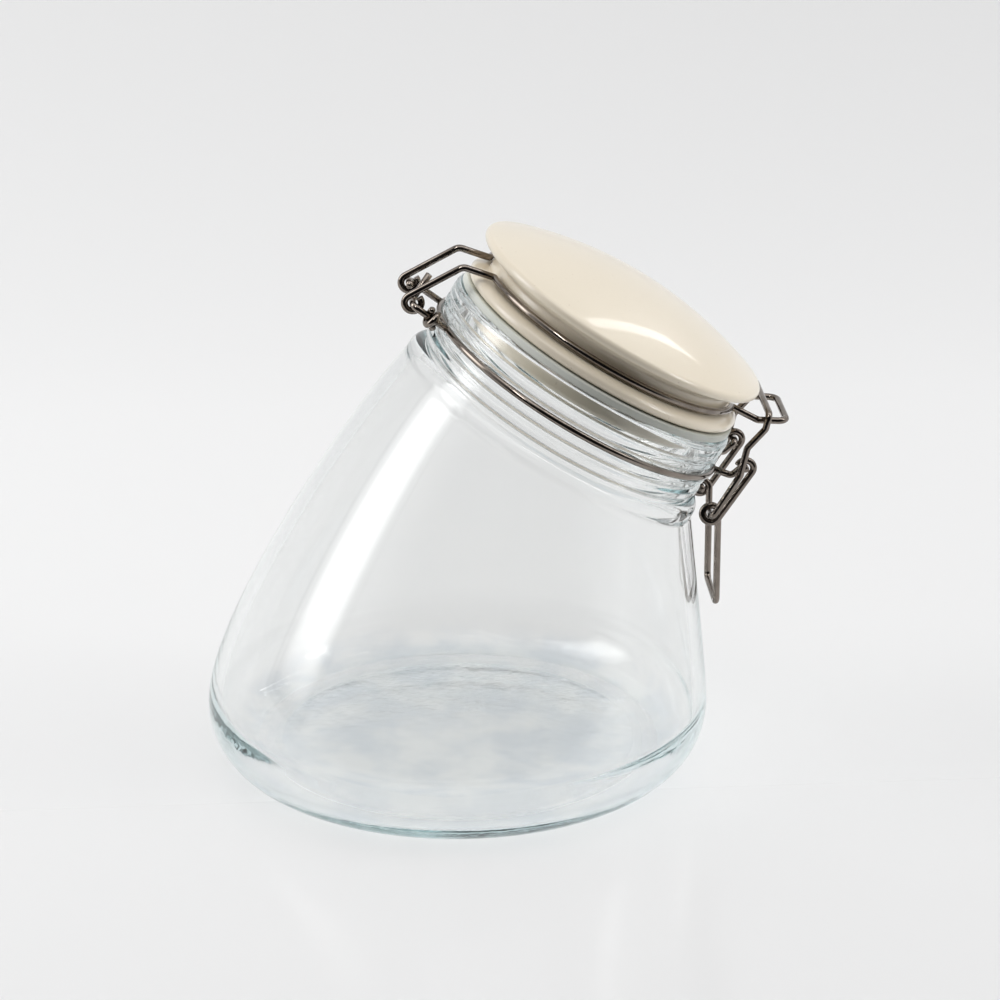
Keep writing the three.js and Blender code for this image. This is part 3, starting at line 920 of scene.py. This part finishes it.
def pale_sheet():
    sheet = Finish(bpy.data.materials.new("pale_sheet"))
    place = sheet.place()
    depth = sheet.node("ShaderNodeSeparateXYZ", {}, {"Vector": place}, output="Y")
    share = sheet.spread(depth, FLOOR_FRONT, SWEEP_START)
    principled = sheet.node(
        "ShaderNodeBsdfPrincipled",
        {},
        {
            "Base Color": sheet.blend(share, SHEET_FRONT, SHEET_BACK),
            "Roughness": sheet.spread(share, 0.0, 1.0, 0.12, 0.6),
            "Specular IOR Level": 0.25,
            "Emission Color": (1, 1, 1, 1),
            "Emission Strength": SHEET_GLOW,
        },
    )
    from_behind = sheet.node("ShaderNodeNewGeometry", output="Backfacing")
    clear = sheet.node("ShaderNodeBsdfTransparent")
    return sheet.surface(sheet.node("ShaderNodeMixShader", {}, {0: from_behind, 1: principled, 2: clear}))


stage_bm = bmesh.new()
near_corners = [stage_bm.verts.new((x, FLOOR_FRONT, 0)) for x in (-STAGE_HALF, STAGE_HALF)]
near_edge = stage_bm.edges.new(near_corners)
made = bmesh.ops.extrude_edge_only(stage_bm, edges=[near_edge])["geom"]
floor_end = [item for item in made if isinstance(item, bmesh.types.BMVert)]
bmesh.ops.translate(stage_bm, vec=(0, SWEEP_START - FLOOR_FRONT, 0), verts=floor_end)
made_edges = [item for item in made if isinstance(item, bmesh.types.BMEdge)]
floor_edge = next(edge for edge in made_edges if set(edge.verts) == set(floor_end))
swept = bmesh.ops.spin(
    stage_bm,
    geom=floor_end + [floor_edge],
    cent=(0, SWEEP_START, SWEEP_RADIUS),
    axis=(1, 0, 0),
    angle=math.pi / 2,
    steps=SWEEP_STEPS,
)["geom_last"]
top_edge = [item for item in swept if isinstance(item, bmesh.types.BMEdge)]
made = bmesh.ops.extrude_edge_only(stage_bm, edges=top_edge)["geom"]
top = [item for item in made if isinstance(item, bmesh.types.BMVert)]
bmesh.ops.translate(stage_bm, vec=(0, 0, BACKDROP_TOP - SWEEP_RADIUS), verts=top)
bmesh.ops.recalc_face_normals(stage_bm, faces=stage_bm.faces)
stage_bm.faces.ensure_lookup_table()
if stage_bm.faces[0].normal.z < 0:
    bmesh.ops.reverse_faces(stage_bm, faces=stage_bm.faces)
for face in stage_bm.faces:
    face.smooth = True
stage_mesh = bpy.data.meshes.new("studio_sweep")
stage_bm.to_mesh(stage_mesh)
stage_bm.free()
stage_mesh.materials.append(pale_sheet())
stage = bpy.data.objects.new("studio_sweep", stage_mesh)
bpy.context.scene.collection.objects.link(stage)
print("stage faces:", len(stage_mesh.polygons))


# %% [markdown]
# ## Soft boxes
# Each lamp is a rectangle on a ball round the jar, aimed at its middle. The first lights everything from
# above, the second brightens the right side, and a narrow one behind draws a bright edge. The last two
# each shine on some pieces only, as a lamp with a flag in front does: one draws streaks on the wires, one
# fills the lid's shaded side.

# %% Soft boxes
def soft_box(name, azimuth, elevation, distance, width, height, power):
    """A rectangular lamp at a place on a ball round the jar, aimed at its middle."""
    data = bpy.data.lights.new(name, "AREA")
    data.shape = "RECTANGLE"
    data.size = width
    data.size_y = height
    data.energy = power
    lamp = bpy.data.objects.new(name, data)
    bpy.context.scene.collection.objects.link(lamp)
    away = outward(math.radians(azimuth), math.radians(elevation))
    lamp.location = VIEW_TARGET + away * distance
    lamp.rotation_mode = "QUATERNION"
    lamp.rotation_quaternion = away.to_track_quat("Z", "Y")
    return lamp


def only_on(lamp, pieces):
    """Keeps a lamp's light on some pieces, as a flag in front of a lamp does."""
    lit = bpy.data.collections.new(lamp.name + "_lit")
    for piece in pieces:
        lit.objects.link(piece)
    lamp.light_linking.receiver_collection = lit


soft_box("top_box", azimuth=10, elevation=72, distance=1.3, width=1.0, height=1.0, power=3)
soft_box("right_box", azimuth=80, elevation=45, distance=1.2, width=0.16, height=0.9, power=2)
soft_box("rim_box", azimuth=137, elevation=27, distance=1.0, width=0.05, height=0.6, power=0.4)
wire_box = soft_box("wire_box", azimuth=-25, elevation=52, distance=1.2, width=0.08, height=0.5, power=2)
lid_box = soft_box("lid_box", azimuth=62, elevation=12, distance=1.2, width=0.4, height=0.4, power=3)
only_on(wire_box, wires)
only_on(lid_box, [lid])
print("lamps:", [item.name for item in bpy.data.lights])

# %% [markdown]
# ## The panel at the left
# The long highlight down the body is the mirror image of a tall glowing panel. Its light fades towards
# its edges, so the highlight has soft edges too. The camera itself doesn't see the panel.

# %% Left panel
PANEL_CORE = 0.1
PANEL_GLOW = 4.2
PANEL_HALF = (0.36, 0.8)
PANEL_DISTANCE = 1.25
PANEL_AWAY = outward(math.radians(-92), math.radians(34))


def feathered_glow(half_width, half_height):
    """Light that fades towards the edges of a panel."""
    glow = Finish(bpy.data.materials.new("feathered_glow"))
    place = glow.place()
    level = glow.node("ShaderNodeSeparateXYZ", {}, {"Vector": place}, output="X") / half_width
    upright = glow.node("ShaderNodeSeparateXYZ", {}, {"Vector": place}, output="Y") / half_height
    level_share = 1 - glow.spread(level * level, PANEL_CORE, 1.0)
    upright_share = 1 - glow.spread(upright * upright, PANEL_CORE, 1.0)
    colour = glow.blend(level_share * upright_share, (0, 0, 0), (1, 1, 1))
    return glow.surface(glow.node("ShaderNodeEmission", {}, {"Color": colour, "Strength": PANEL_GLOW}))


panel_bm = bmesh.new()
panel_size = Matrix.Diagonal((*PANEL_HALF, 1, 1))
bmesh.ops.create_grid(panel_bm, x_segments=1, y_segments=1, size=1, matrix=panel_size)
panel_mesh = bpy.data.meshes.new("left_panel")
panel_bm.to_mesh(panel_mesh)
panel_bm.free()
panel_mesh.materials.append(feathered_glow(*PANEL_HALF))
panel = bpy.data.objects.new("left_panel", panel_mesh)
panel.location = VIEW_TARGET + PANEL_AWAY * PANEL_DISTANCE
panel.rotation_mode = "QUATERNION"
panel.rotation_quaternion = PANEL_AWAY.to_track_quat("Z", "Y")
panel.visible_camera = False
bpy.context.scene.collection.objects.link(panel)
print("panel at", [round(x, 2) for x in panel.location])

# %% [markdown]
# ## The room
# The room is bright behind the jar and dark in front of it, where the camera stands. The dark part is
# what the wires and the rims mirror, and it gives them their contrast. Light in thick glass is mirrored
# inside many times before it leaves, so the rays get enough bounces. With too few, the heel of the jar
# turns black.

# %% Room
GLASS_BOUNCES = 24
EXPOSURE = 0.14
ROOM_LIGHT = (0.74, 0.74, 0.745)
ROOM_DARK = (0.015, 0.015, 0.016)
DARK_END = -0.7
LIGHT_START = -0.05

room = Finish(bpy.data.worlds.new("studio_room"))
way = room.node("ShaderNodeTexCoord", output="Generated")
behind = room.node("ShaderNodeSeparateXYZ", {}, {"Vector": way}, output="Y")
open_share = room.spread(behind, DARK_END, LIGHT_START)
glow = room.node("ShaderNodeBackground", {}, {"Color": room.blend(open_share, ROOM_DARK, ROOM_LIGHT)})
scene = bpy.context.scene
scene.world = room.surface(glow, kind="ShaderNodeOutputWorld")
scene.view_settings.view_transform = "Standard"
scene.view_settings.exposure = EXPOSURE
for kind in ("max_bounces", "glossy_bounces", "transmission_bounces", "transparent_max_bounces"):
    setattr(scene.cycles, kind, GLASS_BOUNCES)
print("room:", scene.world.name, "with", GLASS_BOUNCES, "bounces")
